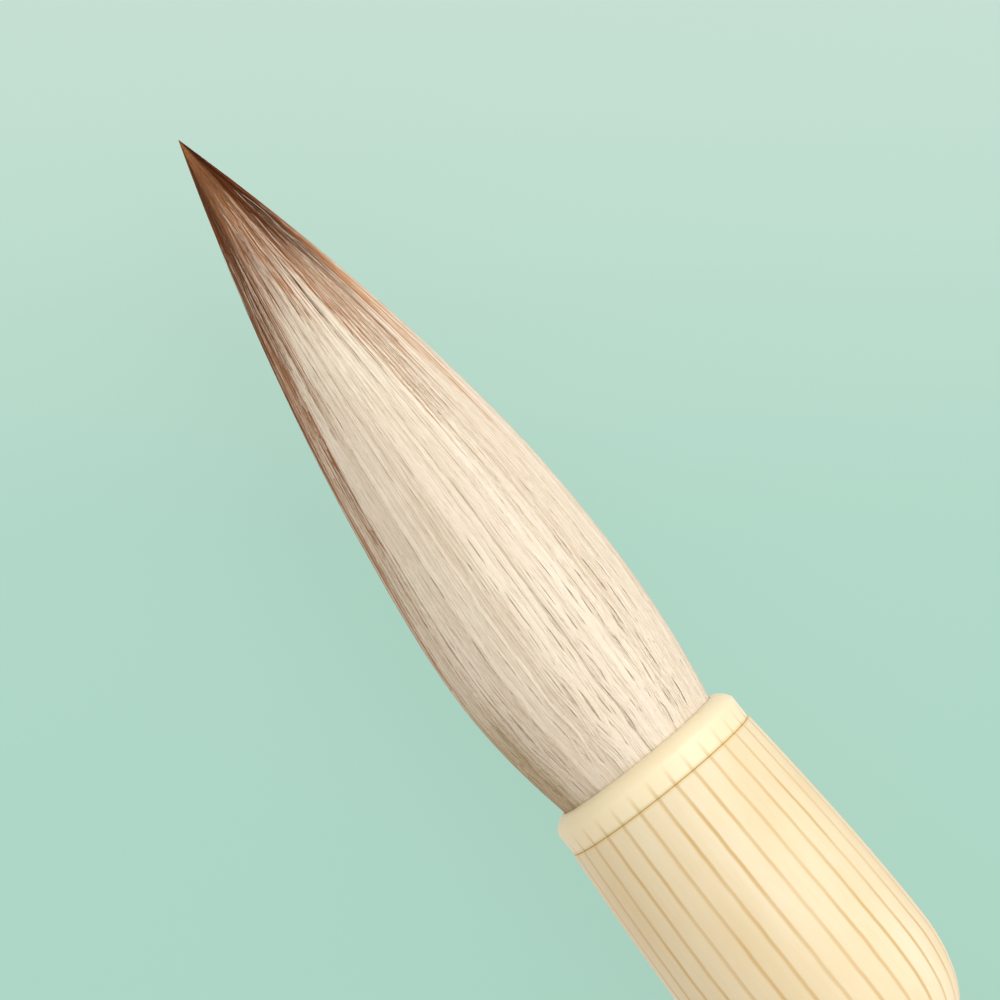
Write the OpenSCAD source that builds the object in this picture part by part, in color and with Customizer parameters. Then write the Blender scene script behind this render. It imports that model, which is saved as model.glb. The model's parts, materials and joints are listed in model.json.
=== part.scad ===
// Calligraphy brush with a full pointed tuft, a turned socket cup and a bamboo handle.
// Every part is drawn about its own Z axis, with z = 0 at the mouth of the cup and +z
// towards the point. All of them are turned, and the cup's swell also has shallow flats.
// The finished brush then lies on its side: the point towards -X, one flat of the cup
// and the end of the culm touching z = 0.

/* [Tuft] */
// Length of hair that stands out of the mouth
tuft_l = 59; // [54:0.5:64]
// Radius of the tuft at its belly
belly_r = 8.3; // [7.9:0.05:8.5]
// Distance of the belly from the mouth
belly_z = 12.5; // [11.5:0.5:14]
// How much narrower in radius the tuft is at the mouth than at the belly
pinch = 1.28; // [1.25:0.01:1.35]
// How full the pointed part is: 1 is a straight cone
fullness = 1.68; // [1.5:0.01:1.9]
// Length of the pale outer hair above the mouth
mantle_l = 46; // [42:0.5:48]
// Length of the short filling hair above the mouth
lining_l = 32; // [28:0.5:36]

/* [Cup] */
// Radius of the mouth ring
ring_r = 8.55; // [8.5:0.01:8.6]
// Height of the mouth ring
ring_h = 3; // [2.6:0.1:3.4]
// Radius of the cup just under the ring
cup_mouth_r = 8.65; // [8.6:0.01:8.75]
// Largest radius of the cup
cup_r = 9.6; // [9.4:0.05:10]
// Distance from the top of the cup down to its largest radius
swell_l = 20; // [18:0.5:22]
// Length of the rounded bottom of the cup
round_l = 8.4; // [7.5:0.1:9.5]
// Radius of the flat back face of the cup
cup_back_r = 5.5; // [5.3:0.1:6]
// Number of lengthwise panels round the cup
panel_count = 31; // [27:2:35]

/* [Handle] */
// Length of the bamboo culm
culm_l = 155; // [120:5:180]
// Outer radius of the culm
culm_r = 5; // [4.6:0.1:5.2]
// Radius of the hollow in the culm
culm_bore_r = 3.2; // [2.8:0.1:3.4]
// Length of the end knob
knob_l = 13; // [11:0.5:16]
// Radius of the hole for a hanging cord
cord_hole_r = 1.2; // [0.8:0.1:1.5]
// Depth of the hole for a hanging cord
cord_hole_l = 10; // [8:0.5:10.5]

/* [Bend of the tuft] */
// Distance of the bend's centre from the mouth
pivot_z = 8; // [7.8:0.1:8.4]
// Radius of the round seat that the bending hair turns in
seat_r = 8.9; // [8.8:0.05:9.1]

/* [Hidden] */
$fn = 96;
play = 0.05;              // between pieces that are glued together
seat_gap = 0.15;          // between the round seat and the hair that turns in it
profile_step = 1.5;       // length of one straight stretch of a curved outline

// Thickness of the two outer hair layers at the mouth and at their ends
mantle_t_root = 1.8;
mantle_t_end = 0.2;
lining_t_root = 1.8;
lining_t_end = 0.25;

// Depths below the mouth, so that each is a negative z
cup_top_z = -ring_h;
spigot_end_z = cup_top_z - 3;
root_end_z = spigot_end_z - 10.5;
rosin_t = 0.8;
glue_t = 1.2;
socket_end_z = root_end_z - rosin_t - glue_t;
cup_back_z = cup_top_z - swell_l - round_l;
back_socket_l = 11;
culm_end_z = cup_back_z - culm_l;
knob_end_z = culm_end_z - knob_l;

root_r = belly_r - pinch;             // hair radius in the mouth
mouth_bore_r = root_r + 2 * play;
spigot_r = mouth_bore_r + 0.65;
socket_r = root_r + 0.18;
peg_r = culm_bore_r - play;
dowel_in_culm_l = 12;
tenon_l = 10;

// Binding thread at the root of the hair
thread_r = 0.2;
thread_turns = 5;
thread_band = thread_turns * 2 * thread_r + 0.2;
waist_depth = 0.25;
waist_z = root_end_z + 1;             // lower end of both waists

// Each panel of the cup has a shallow flat at the swell, and the flats just meet
panel_r = cup_r * cos(180 / panel_count);

// Rest pose: one flat of the cup and the end of the culm lie on z = 0
swell_z = cup_top_z - swell_l;
lean = atan((panel_r - culm_r) / (swell_z - culm_end_z));
mouth_x = (tuft_l + knob_end_z) * cos(lean) / 2;
mouth_height = panel_r * cos(lean) - swell_z * sin(lean);

// ---- outlines ----

function mix(a, b, t) = a + (b - a) * t;

// Heights from a to b, both included, about profile_step apart
function heights(a, b) =
    let (n = ceil(abs(b - a) / profile_step)) [for (i = [0:n]) mix(a, b, i / n)];

// Outer radius of the tuft at height z
function tuft_r(z) =
    z > belly_z ? belly_r * (1 - pow((z - belly_z) / (tuft_l - belly_z), fullness)) :
    belly_r - pinch * pow((belly_z - max(z, 0)) / belly_z, 2);

// Inner radius of the pale outer layer, and of the short filling layer
function mantle_in(z) =
    tuft_r(z) - mix(mantle_t_root, mantle_t_end, max(z, 0) / mantle_l);
function lining_out(z) = mantle_in(z) - play;
function lining_in(z) =
    lining_out(z) - mix(lining_t_root, lining_t_end, max(z, 0) / lining_l);

// Outer radius of the core, which is bare beyond the ends of the other two layers
function core_out(z) =
    z <= lining_l ? lining_in(z) - play :
    z <= mantle_l ? mantle_in(z) - play : tuft_r(z);

// Outer radius of the cup at a distance d from its top: a slow swell, then a rounded bottom
function cup_out(d) =
    d < swell_l ? mix(cup_mouth_r, cup_r, sin(90 * d / swell_l)) :
    cup_back_r + (cup_r - cup_back_r) * sqrt(max(0, 1 - pow((d - swell_l) / round_l, 2)));

// A quarter of a circle as points, from angle a to angle b
function arc(centre, r, a, b, n = 8) =
    [for (i = [0:n]) centre + r * [cos(mix(a, b, i / n)), sin(mix(a, b, i / n))]];

// ---- shared shapes ----

// Puts a turned part where it lies in the finished brush
module lying() {
    translate([mouth_x, 0, mouth_height]) rotate([0, lean - 90, 0]) children();
}

module turned() {
    lying() rotate_extrude() children();
}

// A tube or rod between two heights, in half section
module band(z0, z1, r0, r1) {
    translate([r0, z0]) square([r1 - r0, z1 - z0]);
}

// Half section of a layer of hair between two lists of [radius, height]
module layer(outer, inner) {
    polygon(concat(outer, [for (i = [len(inner) - 1:-1:0]) inner[i]]));
}

// What the fixed root keeps: all but the round seat and what lies beyond it
module below_seat() {
    difference() {
        children();
        translate([0, pivot_z]) circle(r = seat_r);
        translate([0, pivot_z]) square([2 * belly_r, tuft_l]);
    }
}

// What the bending hair keeps: the ball that fits the seat, and all beyond its centre
module above_seat() {
    intersection() {
        children();
        union() {
            translate([0, pivot_z]) circle(r = seat_r - seat_gap);
            translate([0, pivot_z]) square([2 * belly_r, tuft_l]);
        }
    }
}

// Rings of binding thread lying side by side on a waist of the given radius
module binding(waist_r) {
    lying()
        for (i = [0:thread_turns - 1])
            translate([0, 0, waist_z + thread_r + 0.1 + i * 2.02 * thread_r])
                rotate_extrude()
                    translate([waist_r + thread_r + 0.01, 0]) circle(r = thread_r, $fn = 32);
}

// The shallow waist that a binding lies in, as a half section to cut away
module waist(r) {
    band(waist_z, waist_z + thread_band, r - waist_depth, r + 1);
}

// ---- cup ----

module mouth_ring() {
    shoulder = 1.1;
    corner = 0.45;
    spigot_top_z = cup_top_z + 1;
    color("wheat") turned() {
        polygon(concat(
            [[mouth_bore_r, cup_top_z], [ring_r - 0.15, cup_top_z]],
            [[ring_r, cup_top_z + 0.2]],
            arc([ring_r - shoulder, -shoulder], shoulder, 0, 62),
            arc([mouth_bore_r + corner, -corner], corner, 90, 180)
        ));
        band(spigot_end_z, spigot_top_z, mouth_bore_r, spigot_r);
    }
}

// The solid of the cup before its panels are cut
module cup_blank() {
    lip = 0.2;
    rotate_extrude() difference() {
        polygon(concat(
            [[0, cup_top_z], [cup_mouth_r - lip, cup_top_z]],
            [for (d = heights(lip, swell_l)) [cup_out(d), cup_top_z - d]],
            [for (a = [10:10:90]) let (d = swell_l + round_l * sin(a)) [cup_out(d), cup_top_z - d]],
            [[0, cup_back_z]]
        ));
        band(spigot_end_z - 0.1, cup_top_z + 1, 0, spigot_r + play);
        band(socket_end_z, cup_top_z, 0, socket_r);
        band(cup_back_z - 1, cup_back_z + back_socket_l, 0, culm_bore_r);
    }
}

module socket_cup() {
    color("wheat") lying() difference() {
        cup_blank();
        for (i = [0:panel_count - 1])
            rotate([0, 0, 180 + i * 360 / panel_count])
                translate([panel_r, 0, swell_z])
                    rotate([0, lean, 0])
                        translate([0, -cup_r / 2, -round_l]) cube([1, cup_r, 2 * round_l]);
    }
}

// ---- fixed root of the tuft ----

module mantle_root() {
    z = heights(root_end_z, pivot_z);
    color("antiquewhite") turned() below_seat() difference() {
        layer([for (h = z) [tuft_r(h), h]], [for (h = z) [mantle_in(h), h]]);
        waist(root_r);
    }
}

module lining_root() {
    z = heights(root_end_z, pivot_z);
    color("linen") turned() below_seat() difference() {
        layer([for (h = z) [lining_out(h), h]], [for (h = z) [lining_in(h), h]]);
        band(waist_z, waist_z + thread_band, 0, core_out(0) + 2 * thread_r);
    }
}

module core_root() {
    z = heights(root_end_z, pivot_z);
    color("sienna") turned() below_seat() difference() {
        layer([for (h = z) [core_out(h), h]], [[0, root_end_z], [0, pivot_z]]);
        waist(core_out(0));
    }
}

module core_binding_thread() {
    color("ivory") binding(core_out(0) - waist_depth);
}

module outer_binding_thread() {
    color("ivory") binding(root_r - waist_depth);
}

// The melted resin that seals the cut ends of the hair
module rosin_seal() {
    color("saddlebrown") turned() polygon([
        [0, root_end_z], [root_r - 0.4, root_end_z],
        [root_r - 0.8, root_end_z - rosin_t], [0, root_end_z - rosin_t]
    ]);
}

// Glue that fills the bottom of the socket and rises round the resin
module glue_bed() {
    outer = socket_r - play;
    color("darkgoldenrod") turned() polygon([
        [0, socket_end_z], [outer, socket_end_z],
        [outer, root_end_z - 0.02], [root_r - 0.3, root_end_z - 0.02],
        [root_r - 0.75, root_end_z - rosin_t - 0.02], [0, root_end_z - rosin_t - 0.02]
    ]);
}

// ---- handle ----

module joint_dowel() {
    chamfer = 0.4;
    top = cup_back_z + back_socket_l - 0.2;
    bottom = cup_back_z - dowel_in_culm_l;
    color("burlywood") turned() polygon([
        [0, top], [peg_r - chamfer, top], [peg_r, top - chamfer],
        [peg_r, bottom + chamfer], [peg_r - chamfer, bottom], [0, bottom]
    ]);
}

module handle_culm() {
    color("goldenrod") lying() translate([0, 0, culm_end_z]) difference() {
        cylinder(h = culm_l, r = culm_r);
        translate([0, 0, -1]) cylinder(h = culm_l + 2, r = culm_bore_r);
    }
}

module end_knob() {
    groove_z = culm_end_z - 2.2;
    groove = 0.3;
    head_r = culm_r - 0.25;
    waist_r = culm_r - 1.1;
    end_round = 1.4;
    curve_top_z = groove_z - 1.6;
    hole_end_z = knob_end_z + cord_hole_l;
    color("wheat") turned() polygon(concat(
        [[0, culm_end_z + tenon_l], [peg_r, culm_end_z + tenon_l], [peg_r, culm_end_z]],
        [[head_r, culm_end_z], [head_r, groove_z + groove]],
        [[head_r - groove, groove_z], [head_r, groove_z - groove]],
        [for (t = [0:0.125:1])
            [mix(head_r, waist_r, (1 - cos(180 * t)) / 2),
             mix(curve_top_z, knob_end_z + 2 * end_round, t)]],
        arc([waist_r - end_round, knob_end_z + end_round], end_round, 0, -90),
        [[cord_hole_r, knob_end_z], [cord_hole_r, hole_end_z], [0, hole_end_z]]
    ));
}

// ---- bending part of the tuft ----

module mantle_hair() {
    z = heights(0, mantle_l);
    color("antiquewhite") turned() above_seat()
        layer([for (h = z) [tuft_r(h), h]], [for (h = z) [mantle_in(h), h]]);
}

module lining_hair() {
    z = heights(0, lining_l);
    color("linen") turned() above_seat()
        layer([for (h = z) [lining_out(h), h]], [for (h = z) [lining_in(h), h]]);
}

module core_hair() {
    step = 0.02;
    z = concat(
        heights(0, lining_l), heights(lining_l + step, mantle_l),
        heights(mantle_l + step, tuft_l)
    );
    color("sienna") turned() above_seat()
        polygon(concat([for (h = z) [core_out(h), h]], [[0, 0]]));
}

mouth_ring();
socket_cup();
mantle_root();
lining_root();
core_root();
core_binding_thread();
outer_binding_thread();
rosin_seal();
glue_bed();
joint_dowel();
handle_culm();
end_knob();
mantle_hair();
lining_hair();
core_hair();
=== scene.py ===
"""Looks of a calligraphy brush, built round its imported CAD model.

Lengths are in millimetres in the brush's own frame unless a name says otherwise: z runs along the
axis from the mouth of the cup (0) towards the point of the tuft, x points up from the surface that
the brush lies on, and y points across it. Angles round the axis are measured from x towards y.
"""

import json
import math

import bpy
import numpy as np
from mathutils import Matrix, Vector

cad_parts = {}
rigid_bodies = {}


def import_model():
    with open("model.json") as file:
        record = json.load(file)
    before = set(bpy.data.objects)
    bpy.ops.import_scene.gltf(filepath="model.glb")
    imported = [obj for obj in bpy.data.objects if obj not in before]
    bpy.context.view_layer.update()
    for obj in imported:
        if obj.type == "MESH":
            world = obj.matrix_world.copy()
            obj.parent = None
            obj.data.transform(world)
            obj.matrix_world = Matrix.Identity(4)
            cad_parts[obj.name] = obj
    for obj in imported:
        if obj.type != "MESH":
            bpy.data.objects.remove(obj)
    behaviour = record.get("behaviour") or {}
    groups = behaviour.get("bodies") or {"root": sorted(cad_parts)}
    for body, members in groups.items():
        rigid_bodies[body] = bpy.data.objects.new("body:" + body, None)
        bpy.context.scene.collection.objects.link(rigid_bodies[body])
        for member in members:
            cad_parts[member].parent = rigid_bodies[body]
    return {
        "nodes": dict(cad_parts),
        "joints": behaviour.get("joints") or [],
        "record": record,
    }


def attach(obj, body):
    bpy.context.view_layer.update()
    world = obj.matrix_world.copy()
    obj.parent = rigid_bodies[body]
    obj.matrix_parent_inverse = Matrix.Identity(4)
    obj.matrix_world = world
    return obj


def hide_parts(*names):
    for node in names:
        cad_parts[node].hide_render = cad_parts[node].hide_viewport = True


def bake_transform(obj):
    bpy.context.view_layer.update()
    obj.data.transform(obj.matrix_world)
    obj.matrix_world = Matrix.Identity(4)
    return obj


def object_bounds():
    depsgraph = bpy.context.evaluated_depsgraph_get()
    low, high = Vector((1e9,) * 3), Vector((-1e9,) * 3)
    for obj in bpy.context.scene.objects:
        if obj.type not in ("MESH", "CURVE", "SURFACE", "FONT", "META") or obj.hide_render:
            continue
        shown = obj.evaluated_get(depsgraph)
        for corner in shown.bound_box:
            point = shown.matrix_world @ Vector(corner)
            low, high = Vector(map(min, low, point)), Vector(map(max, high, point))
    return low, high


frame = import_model()
cad_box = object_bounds()
rng = np.random.default_rng(11)

MM = 0.001
TURN = 2 * math.pi

# ---- the brush's own frame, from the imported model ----

joint = frame["joints"][0]
grip = next(m for m in frame["record"]["mounts"] if m["name"] == "handle_grip")
point_way = -np.array(grip["axis"], float)
point_way /= np.linalg.norm(point_way)
up_way = np.array((0, 0, 1.0)) - point_way * point_way[2]
up_way /= np.linalg.norm(up_way)
side_way = np.cross(point_way, up_way)
AXES = np.array([up_way, side_way, point_way])


def node_points(node):
    """The corners of a CAD node's mesh, in metres."""
    mesh = frame["nodes"][node].data
    flat = np.empty(3 * len(mesh.vertices))
    mesh.vertices.foreach_get("co", flat)
    return flat.reshape(-1, 3)


pivot = np.array(joint["pos_m"], float)
mouth = pivot + point_way * ((node_points("mouth_ring") - pivot) @ point_way).max()


def measure(node):
    """Lowest z, highest z and largest radius of a CAD node."""
    local = (node_points(node) - mouth) @ AXES.T / MM
    return local[:, 2].min(), local[:, 2].max(), np.hypot(local[:, 0], local[:, 1]).max()


def world(points):
    """Points of the brush's frame, in the row's frame and in metres."""
    return mouth + (np.asarray(points, float) * MM) @ AXES


def around(r, theta, z):
    """Points at radius r and angle theta round the axis, at height z."""
    return np.stack([r * np.cos(theta), r * np.sin(theta), z + 0 * theta], -1)


# ---- sizes ----

TUFT_L = measure("core_hair")[1]
BELLY_R = measure("mantle_hair")[2]
BELLY_Z = 12.5
PINCH = 1.28            # how much narrower in radius the tuft is at the mouth
FULLNESS = 1.68         # 1 would make the pointed part a straight cone
ROOT_END = measure("mantle_root")[0]
TUFT_LEAN = math.radians(2.0)   # the tuft isn't quite in line with the cup
LEAN_START_L = 26.0

RING_LOW, _, RING_R = measure("mouth_ring")
RING_CUP_Z = measure("socket_cup")[1]
CUP_BACK_Z, _, CUP_R = measure("socket_cup")
PANELS = 31
PANEL = TURN / PANELS
PANEL_PHASE = math.pi   # a panel's middle faces the surface that the brush lies on
RIM_COLUMNS = PANELS * 24

FRONT = math.radians(4.9)       # the angle round the axis that faces the camera
ROLL = math.radians(38.7)       # how far the brush leans from upright in the picture
LENS_MM, SENSOR_MM = 150.0, 36.0
VIEW_W = 77.0                   # width of the picture at the brush
AIM_ALONG, AIM_ACROSS = 21.9, 4.05
FLOOR_GLOW = 0.85               # the share of the floor's colour that it gives off itself


def smooth(x, low, high):
    """0 below low, 1 above high, and an S-curve between."""
    t = np.clip((x - low) / (high - low), 0, 1)
    return t * t * (3 - 2 * t)


def mix(a, b, t):
    return a + (b - a) * t


def tuft_r(z):
    """Outer radius of the tuft."""
    z = np.asarray(z, float)
    pointed = BELLY_R * (1 - np.clip((z - BELLY_Z) / (TUFT_L - BELLY_Z), 0, 1) ** FULLNESS)
    pinched = BELLY_R - PINCH * ((BELLY_Z - np.clip(z, 0, BELLY_Z)) / BELLY_Z) ** 2
    return np.where(z > BELLY_Z, pointed, pinched)


def leaning(points):
    """Moves points of the tuft aside, as far as the tuft leans there."""
    z = points[..., 2]
    aside = np.tan(TUFT_LEAN) * np.maximum(z, 0) * smooth(z, 0, LEAN_START_L)
    moved = points.copy()
    moved[..., 0] -= aside * math.sin(FRONT)
    moved[..., 1] += aside * math.cos(FRONT)
    return moved


# ---- camera, light and floor ----


def linear(red, green, blue):
    """A linear colour from values of 0 to 255."""
    def one(v):
        v /= 255
        return v / 12.92 if v <= 0.04045 else ((v + 0.055) / 1.055) ** 2.4
    return one(red), one(green), one(blue), 1.0


face_way = math.cos(FRONT) * up_way + math.sin(FRONT) * side_way
across_way = -math.sin(FRONT) * up_way + math.cos(FRONT) * side_way


def matrix(right, up, back, place):
    m = Matrix.Identity(4)
    for column, axis in enumerate((right, up, back, place)):
        for row in range(3):
            m[row][column] = axis[row]
    return m


def make_camera():
    right = -math.sin(ROLL) * point_way + math.cos(ROLL) * across_way
    up = math.cos(ROLL) * point_way + math.sin(ROLL) * across_way
    aim = mouth + (AIM_ALONG * point_way + AIM_ACROSS * across_way) * MM
    distance = VIEW_W * LENS_MM / SENSOR_MM * MM
    camera = bpy.data.objects.new("camera", bpy.data.cameras.new("camera"))
    camera.data.lens, camera.data.sensor_width = LENS_MM, SENSOR_MM
    camera.data.clip_start, camera.data.clip_end = 0.01, 20
    camera.matrix_world = matrix(right, up, face_way, aim + face_way * distance)
    bpy.context.scene.collection.objects.link(camera)
    bpy.context.scene.camera = camera


def make_softbox(name, turn_deg, slant_deg, distance_m, size_m, watts, colour):
    """A square light aimed at the mouth of the cup.

    turn_deg is its angle round the brush from the camera's side, and slant_deg its lean towards
    the point.
    """
    turn, slant = math.radians(turn_deg), math.radians(slant_deg)
    light = bpy.data.lights.new(name, "AREA")
    light.size, light.energy, light.color = size_m, watts, colour
    way = math.cos(turn) * face_way + math.sin(turn) * across_way
    way = math.cos(slant) * way + math.sin(slant) * point_way
    box = bpy.data.objects.new(name, light)
    facing = Vector(way).to_track_quat("Z", "Y").to_matrix().to_4x4()
    box.matrix_world = Matrix.Translation(mouth + way * distance_m) @ facing
    bpy.context.scene.collection.objects.link(box)


def make_light():
    make_softbox("key_light", turn_deg=40, slant_deg=-4, distance_m=0.7, size_m=0.7, watts=3.15,
                 colour=(0.98, 0.99, 1.0))
    make_softbox("low_light", turn_deg=76, slant_deg=4, distance_m=0.6, size_m=0.3, watts=0.22,
                 colour=(0.96, 0.98, 1.0))
    background = bpy.data.worlds.new("studio")
    background.use_nodes = True
    shader = background.node_tree.nodes["Background"]
    shader.inputs["Color"].default_value = (1.0, 0.965, 0.915, 1.0)
    shader.inputs["Strength"].default_value = 0.8
    bpy.context.scene.world = background
    bpy.context.scene.view_settings.view_transform = "Standard"


# ---- node helpers ----


class Nodes:
    """Makes and links the nodes of one material."""

    def __init__(self, name):
        self.material = bpy.data.materials.new(name)
        self.material.use_nodes = True
        self.tree = self.material.node_tree
        self.shader = self.tree.nodes["Principled BSDF"]

    def add(self, kind, **settings):
        node = self.tree.nodes.new("ShaderNode" + kind)
        for key, value in settings.items():
            setattr(node, key, value)
        return node

    def put(self, socket, value):
        if isinstance(value, bpy.types.NodeSocket):
            self.tree.links.new(value, socket)
        else:
            socket.default_value = value

    def math(self, operation, *values):
        node = self.add("Math", operation=operation)
        for socket, value in zip(node.inputs, values):
            self.put(socket, value)
        return node.outputs[0]

    def vector(self, operation, *values):
        node = self.add("VectorMath", operation=operation)
        for socket, value in zip(node.inputs, values):
            self.put(socket, value)
        return node

    def attribute(self, name):
        return self.add("Attribute", attribute_name=name).outputs["Fac"]

    def noise(self, vector, scale, detail=2.0, roughness=0.5):
        node = self.add("TexNoise")
        self.put(node.inputs["Vector"], vector)
        node.inputs["Scale"].default_value = scale
        node.inputs["Detail"].default_value = detail
        node.inputs["Roughness"].default_value = roughness
        return node.outputs["Fac"]

    def ramp(self, value, stops):
        node = self.add("ValToRGB")
        elements = node.color_ramp.elements
        while len(elements) < len(stops):
            elements.new(0.5)
        for element, (place, colour) in zip(elements, stops):
            element.position, element.color = place, colour
        self.put(node.inputs["Fac"], value)
        return node.outputs["Color"]

    def span(self, value, low, high, to_low=0.0, to_high=1.0, kind="SMOOTHSTEP"):
        node = self.add("MapRange", interpolation_type=kind)
        names = ("From Min", "From Max", "To Min", "To Max")
        for key, number in zip(names, (low, high, to_low, to_high)):
            node.inputs[key].default_value = number
        self.put(node.inputs["Value"], value)
        return node.outputs["Result"]

    def blend(self, factor, first, second, mode="MIX"):
        node = self.add("Mix", data_type="RGBA", blend_type=mode)
        self.put(node.inputs["Factor"], factor)
        self.put(node.inputs[6], first)
        self.put(node.inputs[7], second)
        return node.outputs[2]

    def brush_place(self):
        """The brush's own coordinates, in millimetres, as three sockets."""
        at = self.vector("SUBTRACT", self.add("TexCoord").outputs["Object"], tuple(mouth))
        places = []
        for axis in AXES:
            dot = self.vector("DOT_PRODUCT", at.outputs["Vector"], tuple(axis / MM))
            places.append(dot.outputs["Value"])
        return places

    def stretched(self, places, across, along):
        """A vector for a pattern that is finer across the brush than along it."""
        node = self.add("CombineXYZ")
        for socket, place, scale in zip(node.inputs, places, (across, across, along)):
            self.put(socket, self.math("MULTIPLY", place, scale))
        return node.outputs[0]

    def bump(self, height, distance_mm, strength=1.0):
        node = self.add("Bump")
        node.inputs["Strength"].default_value = strength
        node.inputs["Distance"].default_value = distance_mm * MM
        self.put(node.inputs["Height"], height)
        self.tree.links.new(node.outputs["Normal"], self.shader.inputs["Normal"])

    def finish(self, colour, roughness, **fixed):
        self.put(self.shader.inputs["Base Color"], colour)
        self.put(self.shader.inputs["Roughness"], roughness)
        for key, value in fixed.items():
            self.shader.inputs[key.replace("_", " ")].default_value = value
        return self.material


# ---- materials ----

PALE_STOPS = (
    (0.0, linear(150, 126, 92)), (0.3, linear(203, 187, 158)),
    (0.6, linear(239, 227, 210)), (1.0, linear(255, 246, 226)),
)
BROWN_STOPS = (
    (0.0, linear(214, 142, 60)), (0.35, linear(196, 142, 102)),
    (0.7, linear(132, 76, 40)), (1.0, linear(78, 36, 12)),
)


def hair_material():
    """Strands: each has its own paleness and brownness, stored on its mesh; on the pale outer hairs
    the paleness also carries painted shade on the flanks.
    """
    n = Nodes("hair_strands")
    pale = n.ramp(n.attribute("shade"), PALE_STOPS)
    brown = n.ramp(n.attribute("depth_of_brown"), BROWN_STOPS)
    colour = n.blend(n.attribute("brown"), pale, brown)
    places = n.brush_place()
    fleck = n.noise(n.stretched(places, 9.0, 0.35), 1.0, 3.0)
    colour = n.blend(n.span(fleck, 0.35, 0.75, 0.0, 0.12), colour, linear(190, 165, 135), "MULTIPLY")
    cloud = n.noise(n.stretched(places, 0.35, 0.12), 1.0, 2.0)
    colour = n.blend(n.span(cloud, 0.3, 0.7, 0.0, 0.5), colour, linear(248, 242, 238), "MULTIPLY")
    return n.finish(colour, 0.55, Specular_IOR_Level=0.1)


def under_hair_material(name, stops):
    """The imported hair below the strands: fine streaks along the brush."""
    n = Nodes(name)
    places = n.brush_place()
    fine = n.noise(n.stretched(places, 7.0, 0.12), 1.0, 4.0, 0.6)
    n.bump(fine, 0.02, 0.6)
    return n.finish(n.ramp(n.span(fine, 0.25, 0.75), stops), 0.6, Specular_IOR_Level=0.1)


def ivory_material():
    """Imitation ivory with a soft tan line between every two lengthwise panels."""
    n = Nodes("imitation_ivory")
    places = n.brush_place()
    x, y, z = places
    angle = n.math("ARCTAN2", y, x)
    wander = n.noise(n.stretched(places, 0.3, 0.35), 1.0, 3.0)
    panel = n.math("MULTIPLY", n.math("SUBTRACT", angle, PANEL_PHASE), 1 / PANEL)
    panel = n.math("ADD", panel, n.span(wander, 0.2, 0.8, -0.03, 0.03, "LINEAR"))
    off_middle = n.math("PINGPONG", n.math("ADD", panel, PANELS), 0.5)
    line = n.span(off_middle, 0.36, 0.48)
    strength = n.span(n.noise(n.stretched(places, 0.22, 0.10), 1.0, 2.0), 0.3, 0.7, 0.55, 1.0)
    strength = n.math("MULTIPLY", strength, n.span(z, -3.4, -0.9, 1.0, 0.0))
    line = n.math("MULTIPLY", line, strength)
    cloud = n.noise(n.stretched(places, 0.16, 0.06), 1.0, 3.0)
    cream = n.ramp(cloud, ((0.3, linear(226, 206, 166)), (0.7, linear(234, 221, 190))))
    grain = n.noise(n.stretched(places, 3.0, 0.2), 1.0, 3.0, 0.6)
    cream = n.blend(n.span(grain, 0.35, 0.75, 0.0, 0.12), cream, linear(218, 188, 132))
    cream = n.blend(n.span(z, RING_CUP_Z, RING_CUP_Z + 0.4, 0.0, 0.6), cream, linear(246, 231, 194))
    seam = n.span(n.math("ABSOLUTE", n.math("SUBTRACT", z, RING_CUP_Z)), 0.0, 0.3, 0.6, 0.0)
    cream = n.blend(seam, cream, linear(226, 192, 122))
    colour = n.blend(line, cream, linear(206, 173, 114))
    scratch = n.noise(n.stretched(places, 12.0, 1.2), 1.0, 3.0, 0.65)
    n.bump(scratch, 0.01, 0.5)
    roughness = n.span(scratch, 0.3, 0.7, 0.34, 0.46)
    material = n.finish(colour, roughness, Subsurface_Weight=0.3, Subsurface_Scale=0.0012,
                        Specular_IOR_Level=0.5)
    n.shader.inputs["Subsurface Radius"].default_value = (1.0, 0.75, 0.45)
    return material


def bamboo_material():
    """Natural bamboo skin: golden tan with fine fibres and a few darker freckles."""
    n = Nodes("bamboo_skin")
    places = n.brush_place()
    fibre = n.noise(n.stretched(places, 6.0, 0.05), 1.0, 5.0, 0.65)
    cloud = n.noise(n.stretched(places, 0.12, 0.03), 1.0, 3.0)
    colour = n.ramp(n.span(fibre, 0.3, 0.72), (
        (0.0, linear(168, 120, 62)), (0.5, linear(205, 160, 94)), (1.0, linear(226, 188, 124))))
    colour = n.blend(n.span(cloud, 0.35, 0.7, 0.0, 0.5), colour, linear(186, 134, 70))
    freckle = n.noise(n.stretched(places, 1.6, 0.7), 1.0, 2.0)
    colour = n.blend(n.span(freckle, 0.68, 0.78, 0.0, 0.6), colour, linear(112, 70, 36))
    n.bump(fibre, 0.03, 0.6)
    return n.finish(colour, n.span(fibre, 0.3, 0.7, 0.28, 0.42), Coat_Weight=0.25, Coat_Roughness=0.25)


def plain_material(name, low, high, roughness, across, along, bump_mm, **fixed):
    """A material for the pieces inside: two tones in a noise pattern, with a matching bump."""
    n = Nodes(name)
    pattern = n.noise(n.stretched(n.brush_place(), across, along), 1.0, 4.0)
    n.bump(pattern, bump_mm, 0.7)
    colour = n.ramp(n.span(pattern, 0.3, 0.7), ((0.0, low), (1.0, high)))
    return n.finish(colour, roughness, **fixed)


def thread_material():
    """Waxed thread with its twist."""
    twists_round, slope = 60.0, 12.0
    n = Nodes("waxed_thread")
    x, y, z = n.brush_place()
    turning = n.math("MULTIPLY", n.math("ARCTAN2", y, x), twists_round)
    ply = n.math("SINE", n.math("ADD", turning, n.math("MULTIPLY", z, slope)))
    n.bump(ply, 0.03, 0.8)
    colour = n.ramp(n.span(ply, -1.0, 1.0), (
        (0.0, linear(178, 160, 128)), (1.0, linear(232, 222, 198))))
    return n.finish(colour, 0.55, Sheen_Weight=0.2)


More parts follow.
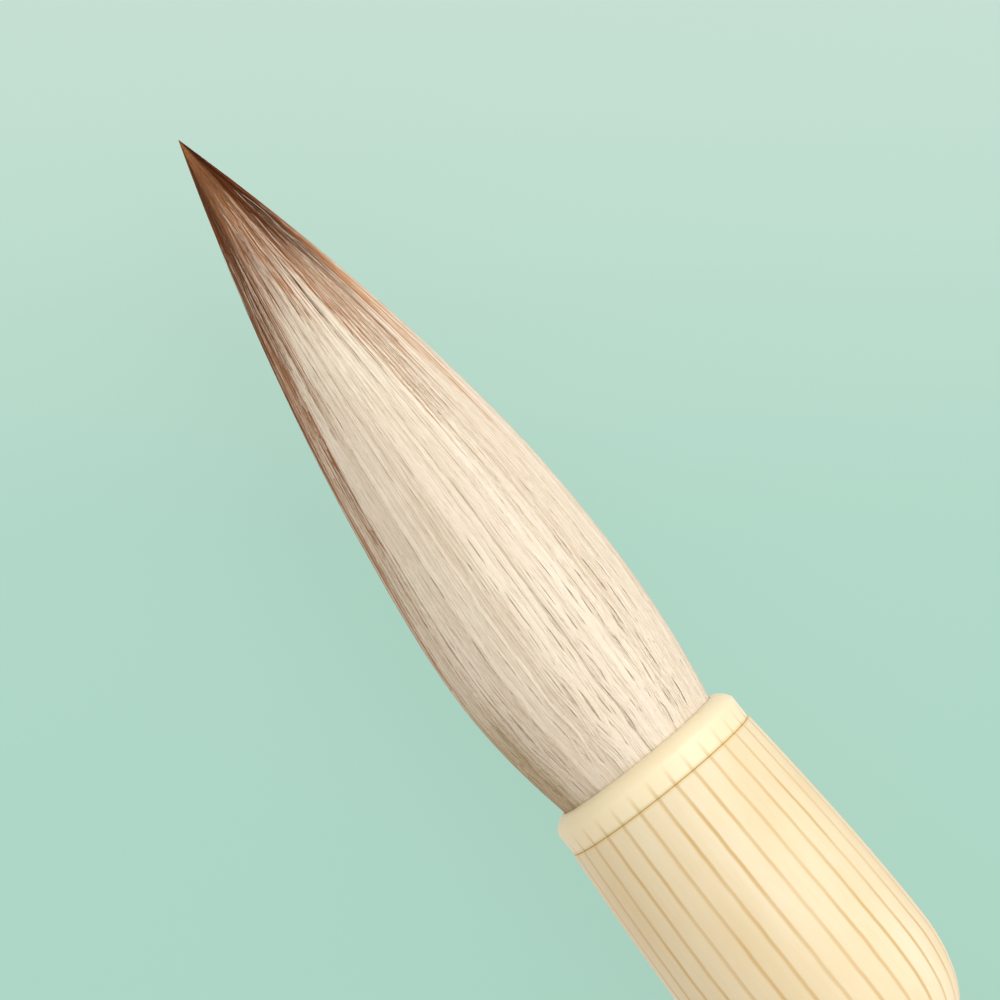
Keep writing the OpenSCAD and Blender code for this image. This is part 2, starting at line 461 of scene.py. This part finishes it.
# ---- mesh helpers ----


def add_piece(name, points, faces, material, values=None):
    """A mesh piece from points of the brush's frame, with its material, slot and stored values."""
    mesh = bpy.data.meshes.new(name)
    mesh.from_pydata(world(points), [], faces)
    mesh.polygons.foreach_set("use_smooth", np.ones(len(mesh.polygons), bool))
    for key, numbers in (values or {}).items():
        stored = mesh.attributes.new(key, "FLOAT", "POINT")
        stored.data.foreach_set("value", np.asarray(numbers, np.float32).ravel())
    mesh.materials.append(material)
    mesh.update()
    piece = bpy.data.objects.new(name, mesh)
    bpy.context.scene.collection.objects.link(piece)
    return piece


def grid_faces(rows, columns, close_rows=False):
    """Quads of a grid whose columns go all the way round, and whose rows may too."""
    last = rows if close_rows else rows - 1
    row, column = np.meshgrid(np.arange(last), np.arange(columns), indexing="ij")
    row, column = row.ravel(), column.ravel()
    after, beside = (row + 1) % rows, (column + 1) % columns
    return np.stack([row * columns + column, row * columns + beside,
                     after * columns + beside, after * columns + column], -1)


def turned(name, outline, columns, material, relief):
    """A body turned round the axis from a closed outline of (radius, z), with a relief in radius."""
    theta = (np.arange(columns) * TURN / columns)[None, :]
    r, z = outline[:, :1], outline[:, 1:]
    points = around(r + relief(r, z, theta), theta + 0 * r, z + 0 * theta)
    faces = grid_faces(len(outline), columns, True)
    return add_piece(name, points.reshape(-1, 3), faces.tolist(), material)


def strand_mesh(z, theta, r, half_width):
    """Points and faces of three-sided, slightly flat tapering strands, one per row of the arrays."""
    flatness = 0.6
    count, rings = z.shape
    centre = around(r, theta, z)
    out = np.stack([np.cos(theta), np.sin(theta), 0 * theta], -1)
    beside = np.stack([-np.sin(theta), np.cos(theta), 0 * theta], -1)
    corners = []
    for angle in (90, 210, 330):
        a = math.radians(angle)
        way = math.cos(a) * beside + flatness * math.sin(a) * out
        corners.append(centre + half_width[..., None] * way)
    points = leaning(np.stack(corners, 2)).reshape(-1, 3)
    side = grid_faces(rings, 3)[:, ::-1]
    starts = (np.arange(count) * rings * 3)[:, None, None]
    quads = (side[None] + starts).reshape(-1, 4)
    root = np.array([[0, 1, 2]])[None] + starts
    tip = np.array([[2, 1, 0]])[None] + (rings - 1) * 3 + starts
    return points, quads.tolist() + root.reshape(-1, 3).tolist() + tip.reshape(-1, 3).tolist()


# ---- the tuft ----

def uneven(count, low, high):
    """Edges of strips of uneven width all the way round, and the width and middle of each strip."""
    edge = np.cumsum(rng.uniform(low, high, count))
    edge *= TURN / edge[-1]
    width = np.diff(edge, prepend=0)
    return edge, width, edge - width / 2


# Locks are the narrow strips that the hair falls into at the mouth, and wisps the wider ones near
# the point.
LOCKS, WISPS = 112, 44
MANTLE_STRANDS, CORE_STRANDS = 5400, 1500
lock_edge, lock_width, lock_middle = uneven(LOCKS, 0.45, 1.55)
wisp_edge, wisp_width, wisp_middle = uneven(WISPS, 0.4, 1.6)
lock_depth = rng.uniform(0, 0.03, LOCKS)
lock_shade = rng.normal(0, 0.05, LOCKS)
lock_phase = rng.uniform(0, TURN, (LOCKS, 2))
lock_wave = rng.uniform(4.0, 9.0, (LOCKS, 2))
wisp_reach = np.clip(rng.normal(1, 0.16, WISPS), 0.7, 1.25)
wisp_tone = rng.normal(0, 0.09, WISPS)

# How far from the point brown still shows among the pale hairs: (angle from the front, distance)
REACH = ((-180, 15), (-120, 26), (-95, 38), (-70, 40), (-53, 29), (-38, 22), (-24, 20), (-8, 14),
         (6, 14), (14, 17), (26, 22), (40, 22), (54, 27), (70, 21), (90, 20), (130, 16), (180, 15))


def from_front(theta):
    """Angle round the axis from the side that faces the camera, in degrees from -180 to 180."""
    return np.degrees((theta - FRONT + math.pi) % TURN - math.pi)


def reach_of(theta):
    angles, lengths = zip(*REACH)
    return np.interp(from_front(theta), angles, lengths)


def bump_at(x, middle, width):
    """A smooth bump: 1 in the middle, small beyond the width."""
    return np.exp(-((x - middle) / width) ** 2)


def wave(z, phase, length):
    return np.sin(z * TURN / length + phase)


def row_of(values):
    return values[:, None]


class Strip:
    """Which strip each hair belongs to, and where in it: -1 and 1 are the strip's edges."""

    def __init__(self, theta, edge, width, middle):
        self.index = np.searchsorted(edge, theta % TURN)
        self.middle, self.half = row_of(middle[self.index]), row_of(width[self.index] / 2)
        self.beside = (row_of(theta % TURN) - self.middle) / self.half


def mantle_strands(count):
    """Paths, widths and paleness of the pale outer hairs, one hair per row; the paleness includes
    painted shade on both flanks.
    """
    rings = 34
    theta0 = rng.uniform(0, TURN, count)
    lock = Strip(theta0, lock_edge, lock_width, lock_middle)
    wisp = Strip(theta0, wisp_edge, wisp_width, wisp_middle)
    s = np.linspace(0, 1, rings)[None, :]

    # Along the brush: a hair starts inside the ring, and a fifth of them end early.
    ends = TUFT_L - 0.4 * reach_of(theta0) + rng.normal(0, 2.0, count)
    short = rng.random(count) < 0.2
    ends = np.minimum(np.where(short, ends - rng.uniform(3, 22, count), ends), TUFT_L - 1.6)
    z = mix(row_of(rng.uniform(-1.6, -0.9, count)), row_of(ends), s ** 1.45)

    # Round the brush: locks sway and hairs are crimped, most near the mouth, and the hairs of a lock
    # or wisp gather towards its middle.
    free = np.exp(-np.maximum(z, 0) / 13)
    sway = 0
    for i in (0, 1):
        sway = sway + wave(z, row_of(lock_phase[lock.index, i]), row_of(lock_wave[lock.index, i]))
    tight = wave(z, row_of(rng.uniform(0, TURN, count)), row_of(rng.uniform(2.2, 5.0, count)))
    loose = wave(z, row_of(rng.uniform(0, TURN, count)), row_of(rng.uniform(5.0, 12.0, count)))
    sway_mm = 0.11 * free * sway + 0.045 * mix(0.45, 1.0, free) * (tight + 0.7 * loose)
    drift = row_of(rng.normal(0, 0.1, count)) * smooth(z, 4, 45)
    surface = tuft_r(z) + 0.06
    low_part, high_part = np.exp(-np.maximum(z - 6, 0) / 16), smooth(z, 26, 42)
    theta = row_of(theta0) - 0.09 * lock.beside * lock.half * smooth(z, 3, 16)
    theta = theta - 0.22 * wisp.beside * wisp.half * high_part
    theta = theta + (sway_mm * smooth(z, -0.4, 2.5) + drift) / np.maximum(surface, 0.8)

    # In depth: valleys between the strips and a depth for each hair, shallower on the lit side.
    edge_depth = 0.045 * np.abs(lock.beside) ** 2.2 * lock.half * LOCKS / math.pi
    valley = edge_depth + row_of(lock_depth[lock.index])
    valley = valley * mix(0.3, 1.0, low_part) * smooth(z, -0.5, 3)
    valley = valley + 0.09 * np.abs(wisp.beside) ** 3 * high_part
    depth = row_of(rng.beta(1.1, 2.4, count) * 0.09) * smooth(z, -1.5, 4)
    angle = from_front(theta0)
    lit = row_of(smooth(angle, -40, 15)) * smooth(-z, -36, -22)
    r = surface - (valley + depth) * mix(1.0, 0.6, lit) * mix(0.35, 1.0, surface / BELLY_R)
    half_width = row_of(rng.uniform(0.032, 0.058, count)) * mix(0.5, 1.0, surface / BELLY_R)
    half_width = half_width * (1 - 0.85 * smooth(s, 0.8, 1.0))

    # Paleness: less in a few dull hairs; less on both flanks and least on the left one near the mouth,
    # which is painted shade.
    shade = rng.normal(0.65, 0.11, count) + lock_shade[lock.index]
    # painted shade: both flanks darker than the front
    shade = shade - 0.15 * smooth(angle, 24, 52) - 0.16 * smooth(-angle, 50, 80)
    # more painted shade on the left flank near the mouth
    shade = row_of(shade) - 0.32 * row_of(smooth(-angle, 24, 60)) * smooth(-z, -16, -4)
    dull = rng.random(count) < 0.06
    shade = np.where(row_of(dull), row_of(rng.uniform(0.15, 0.5, count)), shade)
    return z, theta, np.maximum(r, 0.02), half_width, np.clip(shade, 0.03, 1), wisp


def brown_tone(z, theta, plain):
    """How deep the brown is: darkest on the flanks, lighter in front, amber on the right edge."""
    away, angle = TUFT_L - z, from_front(theta)
    close, near = smooth(-away, -8, -3), smooth(-away, -13, -6)
    left = smooth(-angle, 32, 50)
    right = 0.33 * smooth(angle, 6, 30) * smooth(-away, -17, -7)
    rim = 0.33 * bump_at(angle, 54, 9) * smooth(-away, -19, -14)
    amber = bump_at(angle, 72, 12) * smooth(away, 6, 10) * smooth(-away, -24, -15)
    streak = bump_at(angle, -14, 14) * bump_at(away, 6.5, 2.5)
    very_end = bump_at(away, 0, 2.5) * smooth(-angle, -30, 10)
    tone = np.clip(plain, 0.2, 0.6) + 0.06 * close + right + rim + (0.22 + 0.2 * near) * left
    return np.clip(tone - 0.15 * amber - 0.28 * streak - 0.42 * very_end, 0, 1)


def make_mantle(material):
    """The pale hairs, in six pieces so that each stays a workable mesh."""
    pieces = []
    sides = 6
    z, theta, r, half_width, shade, wisp = mantle_strands(MANTLE_STRANDS)
    sector = np.floor(((theta[:, 0] - FRONT + math.pi / sides) % TURN) / (TURN / sides)).astype(int)
    reach = reach_of(theta) * row_of(wisp_reach[wisp.index])
    share = np.exp(-(np.maximum(TUFT_L - z, 0) / reach) ** 3) * (0.88 + 0.3 * wisp.beside ** 2)
    pick = row_of(rng.random(MANTLE_STRANDS))
    brown = smooth(np.clip(share, 0, 1), pick * 0.86, pick * 0.86 + 0.16)
    plain = rng.normal(0.36, 0.12, MANTLE_STRANDS) + wisp_tone[wisp.index]
    tone = brown_tone(z, theta, row_of(plain))
    for index in range(sides):
        own = sector == index
        points, faces = strand_mesh(z[own], theta[own], r[own], half_width[own])
        values = {
            "shade": np.repeat(shade[own], 3),
            "brown": np.repeat(brown[own], 3),
            "depth_of_brown": np.repeat(tone[own], 3),
        }
        name = f"mantle_strands_{index + 1}"
        pieces.append(add_piece(name, points, faces, material, values))
    return pieces


# Loose short hairs: (count, middle angle from the front, spread, lowest, highest, paleness, brownness)
GUARD_BANDS = (
    (240, 33, 5, 20, 46, 0.35, 0.35),
    (60, -66, 4, 20, 36, 0.3, 0.8),
    (90, -50, 14, 4, 44, 0.35, 0.3),
    (16, 0, 90, 4, 34, 0.4, 0.1),
    (90, 5, 42, 43, 54, 0.3, 0.95),
    (70, -5, 38, 36, 52, 0.85, 0.0),
)


def make_guard_hairs(material):
    """Short hairs that lie on the others: dark ones in bands, and both kinds near the point."""
    groups = []
    for number, middle, spread, low, high, paleness, brownness in GUARD_BANDS:
        draws = (rng.normal(middle, spread, number), rng.uniform(low, high, number),
                 rng.normal(paleness, 0.08, number), rng.normal(brownness, 0.12, number))
        groups.append(np.stack(draws))
    angle, middle_z, shade, brown = np.concatenate(groups, 1)
    count, rings = len(angle), 14
    s = np.linspace(0, 1, rings)[None, :]
    z = row_of(middle_z) + row_of(rng.uniform(4.5, 12.0, count)) * (s - 0.5)
    z = np.minimum(z, TUFT_L - 1.5)
    bend = 0.08 * wave(z, row_of(rng.uniform(0, TURN, count)), row_of(rng.uniform(3, 7, count)))
    surface = tuft_r(z) + 0.04
    theta = row_of(np.radians(angle) + FRONT) + bend / surface
    ends = smooth(s, 0, 0.3) * (1 - smooth(s, 0.7, 1))
    r = surface - 0.1 * (1 - ends)
    half_width = row_of(rng.uniform(0.026, 0.05, count)) * mix(0.15, 1.0, ends)
    half_width = half_width * mix(0.4, 1.0, surface / BELLY_R)
    points, faces = strand_mesh(z, theta, r, half_width)
    depth = row_of(rng.uniform(0.5, 0.9, count))
    values = {
        "shade": np.repeat(row_of(np.clip(shade, 0, 1)) + 0 * z, 3),
        "brown": np.repeat(row_of(np.clip(brown, 0, 1)) * smooth(z, 10, 34), 3),
        "depth_of_brown": np.repeat(depth + 0 * z, 3),
    }
    return add_piece("guard_hairs", points, faces, material, values)


def make_core_strands(material):
    """The brown hairs that form the point."""
    count, rings = CORE_STRANDS, 18
    theta0 = rng.uniform(0, TURN, count)
    wisp = Strip(theta0, wisp_edge, wisp_width, wisp_middle)
    s = np.linspace(0, 1, rings)[None, :]
    ends = TUFT_L - np.abs(rng.normal(0, 1.4, count)) * rng.choice((0.15, 1.0, 3.0), count)
    z = mix(row_of(rng.uniform(20, 28, count)), row_of(ends), s)
    surface = tuft_r(z) + 0.03
    depth = row_of(rng.beta(1.1, 2.0, count) * 0.35)
    depth = depth + 0.08 * np.abs(wisp.beside) ** 3 + 0.14 * smooth(-z, -54, -46)
    r = np.maximum(surface - depth * mix(0.2, 1.0, surface / BELLY_R), 0.02)
    theta = row_of(theta0) - 0.22 * wisp.beside * wisp.half * smooth(z, 26, 42)
    theta = theta + row_of(rng.normal(0, 0.12, count)) * smooth(z, 20, 55) / np.maximum(surface, 0.8)
    half_width = row_of(rng.uniform(0.028, 0.05, count)) * mix(0.4, 1.0, surface / BELLY_R)
    half_width = half_width * (1 - 0.8 * smooth(s, 0.75, 1.0))
    points, faces = strand_mesh(z, theta, r, half_width)
    plain = rng.normal(0.42, 0.14, count) + wisp_tone[wisp.index]
    tone = brown_tone(z, theta, row_of(plain))
    values = {
        "shade": np.full(3 * z.size, 0.3),
        "brown": np.full(3 * z.size, 1.0),
        "depth_of_brown": np.repeat(tone, 3),
    }
    return add_piece("core_strands", points, faces, material, values)


def packed_layer(name, end, outer, inner, material):
    """A closed layer of packed hair between two radii, from the root to its end."""
    rows, columns = 70, 180
    z = np.linspace(ROOT_END, end, rows)
    out, into = outer(z), inner(z)
    radius = np.concatenate([out, into[::-1]])
    height = np.concatenate([z, z[::-1]])
    theta = np.arange(columns) * TURN / columns
    groove = 0.015 * np.sin(theta * 61 + 1.3) + 0.01 * np.sin(theta * 97)
    spread = radius[:, None] + groove[None, :] * np.minimum(1, radius[:, None] / BELLY_R) ** 2
    spread = np.maximum(spread, 0.01)
    points = leaning(around(spread, theta[None, :] + 0 * spread, height[:, None] + 0 * spread))
    faces = grid_faces(2 * rows, columns, True)
    return add_piece(name, points.reshape(-1, 3), faces.tolist(), material)


MANTLE_BODY_END, LINING_END = 38.0, 31.0


def make_packed_hair():
    pale = under_hair_material("packed_pale_hair", (
        (0.0, linear(226, 208, 180)), (0.45, linear(243, 230, 207)), (1.0, linear(250, 242, 226))))
    filling = under_hair_material("packed_filling_hair", (
        (0.0, linear(140, 110, 76)), (1.0, linear(216, 196, 160))))
    brown = under_hair_material("packed_brown_hair", (
        (0.0, linear(92, 48, 22)), (0.6, linear(140, 84, 46)), (1.0, linear(176, 118, 72))))

    def mantle_outer(z):
        return tuft_r(z) - 0.05 - 1.0 * smooth(z, 30, MANTLE_BODY_END)

    def mantle_inner(z):
        return mantle_outer(z) - mix(1.5, 0.05, np.clip(z, 0, MANTLE_BODY_END) / MANTLE_BODY_END)

    def lining_outer(z):
        return mantle_inner(z) - 0.03

    def lining_inner(z):
        return lining_outer(z) - mix(1.7, 0.2, np.clip(z, 0, LINING_END) / LINING_END)

    def core_outer(z):
        bare = tuft_r(z) - 0.36 * mix(0.3, 1.0, tuft_r(z) / BELLY_R)
        above_lining = mantle_inner(np.minimum(z, MANTLE_BODY_END))
        covered = np.where(z < LINING_END, lining_inner(z), above_lining) - 0.03
        return np.maximum(mix(covered, bare, smooth(z, LINING_END, MANTLE_BODY_END + 2)), 0.03)

    def core_inner(z):
        return 0 * z + 0.01

    mantle = packed_layer("mantle_body", MANTLE_BODY_END, mantle_outer, mantle_inner, pale)
    lining = packed_layer("lining_body", LINING_END, lining_outer, lining_inner, filling)
    core = packed_layer("core_body", TUFT_L - 1.0, core_outer, core_inner, brown)
    return mantle, lining, core


def make_tuft():
    strands = hair_material()
    mantle_body, lining, core_body = make_packed_hair()
    mantle = make_mantle(strands) + [make_guard_hairs(strands)]
    core = make_core_strands(strands)
    for piece in [mantle_body, lining, core_body, core] + mantle:
        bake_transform(piece)
    for piece in [mantle_body] + mantle:
        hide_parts("mantle_hair", "mantle_root")
    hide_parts("lining_hair", "lining_root")
    for piece in (core, core_body):
        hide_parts("core_hair", "core_root")


# ---- ring and cup ----


def off_line(theta):
    """Distance from the nearest line between panels, in panels, from 0 to 0.5."""
    place = (theta - PANEL_PHASE) / PANEL
    return 0.5 - np.abs(place - np.round(place))


def reeds(depth):
    """Relief of shallow convex panels with a fine groove between them, on the outer walls only."""
    def relief(r, z, theta):
        d = off_line(theta)
        crown = depth * (np.sin(math.pi * np.clip(d, 0, 0.5)) - 1)
        groove = -0.8 * depth * np.exp(-(d / 0.06) ** 2)
        return (crown + groove) * smooth(r, 8.0, 8.4) * smooth(-z, 0.9, 2.4)
    return relief


def arc_points(r, z, radius, start, end, count):
    a = np.radians(np.linspace(start, end, count))
    return np.stack([r + radius * np.cos(a), z + radius * np.sin(a)], -1)


def make_ring(material):
    wall, spigot_wall, lip = 1.43, 0.65, 0.1
    bore = RING_R - wall
    spigot_r = bore + spigot_wall
    # The shoulder of the ring, from its outer wall over to the bore, is a flattened quarter circle.
    shoulder_z, flattening = -1.14, 1.3
    turn = np.radians(np.linspace(0, 86, 15))
    out, up = np.cos(turn) ** flattening, np.sin(turn) ** flattening
    outline = np.concatenate([
        [(bore, RING_LOW), (spigot_r, RING_LOW), (spigot_r, RING_CUP_Z)],
        [(mix(spigot_r, RING_R, t), RING_CUP_Z) for t in (0.3, 0.6)],
        arc_points(RING_R - 0.12, RING_CUP_Z + 0.12, 0.12, -90, 0, 5),
        [(RING_R, z) for z in np.linspace(RING_CUP_Z + 0.4, shoulder_z - 0.1, 9)],
        np.stack([mix(bore + 0.14, RING_R, out), mix(shoulder_z, -0.02, up)], -1),
        arc_points(bore + lip, -lip, lip, 80, 180, 5),
        [(bore, z) for z in np.linspace(-0.8, RING_LOW + 0.5, 6)],
    ])
    ring = turned("mouth_ring_turned", outline, RIM_COLUMNS, material, reeds(0.008))
    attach(ring, joint["parent"])
    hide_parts("mouth_ring")


def make_cup(material):
    top_r, swell_l, round_l, back_r, lip = CUP_R - 0.95, 20.0, 8.4, 5.5, 0.14
    top = RING_CUP_Z
    spigot_r, spigot_l, socket_r, centre_r = 7.77, 3.1, 7.2, 0.02
    socket_end, back_socket_l, peg_r = CUP_BACK_Z + 12.9, 11.0, 3.2
    swell = np.linspace(0.5, swell_l, 34)
    round_a = np.radians(np.linspace(6, 90, 18))
    outline = np.concatenate([
        [(centre_r, socket_end), (socket_r * 0.5, socket_end), (socket_r, socket_end)],
        [(socket_r, top - spigot_l), (spigot_r, top - spigot_l), (spigot_r, top)],
        [(mix(spigot_r, top_r, 0.5), top)],
        arc_points(top_r - lip, top - lip, lip, 90, 0, 6),
        np.stack([top_r + (CUP_R - top_r) * np.sin(swell / swell_l * math.pi / 2), top - swell], -1),
        np.stack([mix(back_r, CUP_R, np.cos(round_a)), top - swell_l - round_l * np.sin(round_a)], -1),
        [(mix(back_r, peg_r, t), CUP_BACK_Z) for t in (0.5, 1.0)],
        [(peg_r, CUP_BACK_Z + back_socket_l), (centre_r, CUP_BACK_Z + back_socket_l)],
    ])[::-1]
    cup = turned("socket_cup_turned", outline, RIM_COLUMNS, material, reeds(0.014))
    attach(cup, joint["parent"])
    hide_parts("socket_cup")


# ---- handle ----


def make_culm():
    low, high, radius = measure("handle_culm")
    bore, edge = 3.2, 0.25
    z = np.linspace(low + edge, high - edge, 120)
    outline = np.concatenate([
        [(bore, low), (radius - edge, low)],
        np.stack([0 * z + radius, z], -1),
        [(radius - edge, high), (bore, high)],
    ])

    def skin(r, z, theta):
        """Bamboo is never quite round: shallow lengthwise swells that wander along the culm."""
        swells = 0.05 * np.sin(theta + z / 60) + 0.03 * np.sin(3 * theta - z / 45)
        swells = swells + 0.012 * np.sin(11 * theta + z / 30)
        return (swells - 0.06) * smooth(r, radius - 1.0, radius - 0.4)

    culm = turned("culm_skin", outline, 144, bamboo_material(), skin)
    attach(culm, joint["parent"])
    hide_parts("handle_culm")


def dress_cad_nodes(ivory):
    """Materials for the CAD nodes that stay."""
    thread = thread_material()
    rosin = plain_material("melted_rosin", linear(84, 40, 14), linear(150, 84, 34),
                           roughness=0.22, across=1.2, along=1.2, bump_mm=0.05, Coat_Weight=0.4)
    glue = plain_material("set_glue", linear(176, 128, 60), linear(212, 170, 100),
                          roughness=0.3, across=0.9, along=0.9, bump_mm=0.05)
    wood = plain_material("dowel_wood", linear(160, 116, 70), linear(206, 164, 112),
                          roughness=0.6, across=3.0, along=0.15, bump_mm=0.04)
    looks = {
        "end_knob": ivory,
        "core_binding_thread": thread,
        "outer_binding_thread": thread,
        "rosin_seal": rosin,
        "glue_bed": glue,
        "joint_dowel": wood,
    }
    for node, material in looks.items():
        mesh = frame["nodes"][node].data
        mesh.materials.clear()
        mesh.materials.append(material)


def make_floor():
    """Pale mint paper, lighter towards the top of the picture.

    It glows, so that shadows on it stay faint.
    """
    n = Nodes("pale_paper_floor")
    at = n.vector("SUBTRACT", n.add("TexCoord").outputs["Object"], tuple(mouth))
    up = math.cos(ROLL) * point_way + math.sin(ROLL) * across_way
    height = n.vector("DOT_PRODUCT", at.outputs["Vector"], tuple(up / MM)).outputs["Value"]
    colour = n.ramp(n.span(height, -30.0, 62.0, kind="LINEAR"), (
        (0.0, linear(172, 213, 197)), (0.5, linear(176, 215, 200)), (0.8, linear(190, 221, 207)),
        (1.0, linear(197, 223, 210))))
    n.put(n.shader.inputs["Emission Color"], colour)
    n.shader.inputs["Emission Strength"].default_value = FLOOR_GLOW
    paper = n.noise(at.outputs["Vector"], 900.0, 3.0)
    n.bump(paper, 0.05, 0.15)
    dim = n.blend(1 - FLOOR_GLOW, linear(0, 0, 0), colour)
    material = n.finish(dim, 0.9, Specular_IOR_Level=0.0)
    half_m, bottom = 2.5, cad_box[0].z
    corners = [(x * half_m, y * half_m, bottom) for x, y in ((-1, -1), (1, -1), (1, 1), (-1, 1))]
    mesh = bpy.data.meshes.new("floor")
    mesh.from_pydata(corners, [], [(0, 1, 2, 3)])
    mesh.materials.append(material)
    floor = bpy.data.objects.new("floor", mesh)
    bpy.context.scene.collection.objects.link(floor)
    floor.visible_diffuse = floor.visible_glossy = floor.visible_transmission = False


make_camera()
make_light()
make_floor()
ivory = ivory_material()
make_tuft()
make_ring(ivory)
make_cup(ivory)
make_culm()
dress_cad_nodes(ivory)
